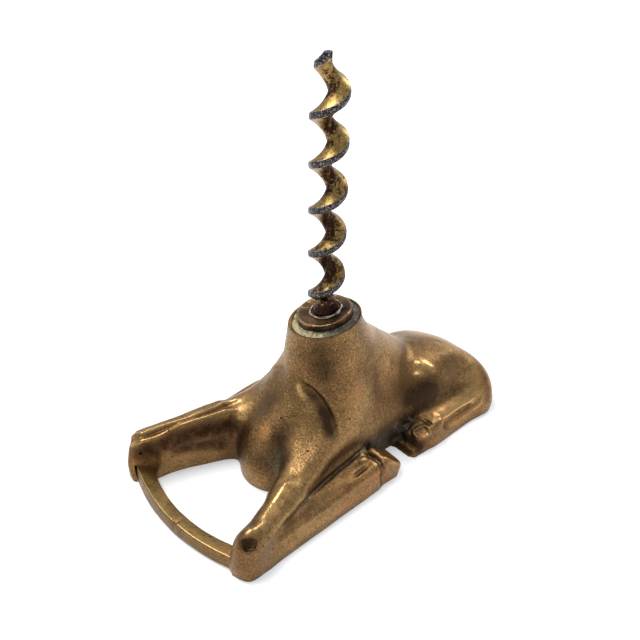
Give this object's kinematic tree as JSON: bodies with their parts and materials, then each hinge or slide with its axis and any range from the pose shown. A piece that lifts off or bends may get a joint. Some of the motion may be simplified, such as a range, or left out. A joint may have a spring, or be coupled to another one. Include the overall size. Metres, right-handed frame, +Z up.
{
  "type": "figural corkscrew",
  "caption": "Lying hoofed animal in cast brass with a bladed steel worm standing on its neck and a cap lifter bar between its knees.",
  "frame": {"origin": "on the ground, under the axis of the worm", "axes": "+X to the animal's left, +Y to its rump, +Z up along the worm"},
  "size_m": [0.0527, 0.1031, 0.1119],
  "materials": {
    "cast_brass": "aged and rubbed, brown in the hollows",
    "bar_brass": "satin, worn",
    "dark_brass": "dark patina",
    "pin_copper": "dark red brown",
    "worm_steel": "ground edges with gilt and stained faces",
    "pale_solder": "dull, green in places"
  },
  "bodies": {
    "root": {"body_casting": "cast_brass", "opener_bar": "bar_brass", "bar_pin_left": "pin_copper", "bar_pin_right": "pin_copper", "neck_plug": "dark_brass", "plug_seal_ring": "pale_solder", "worm": "worm_steel", "worm_solder_ring": "pale_solder"}
  },
  "joints": []
}
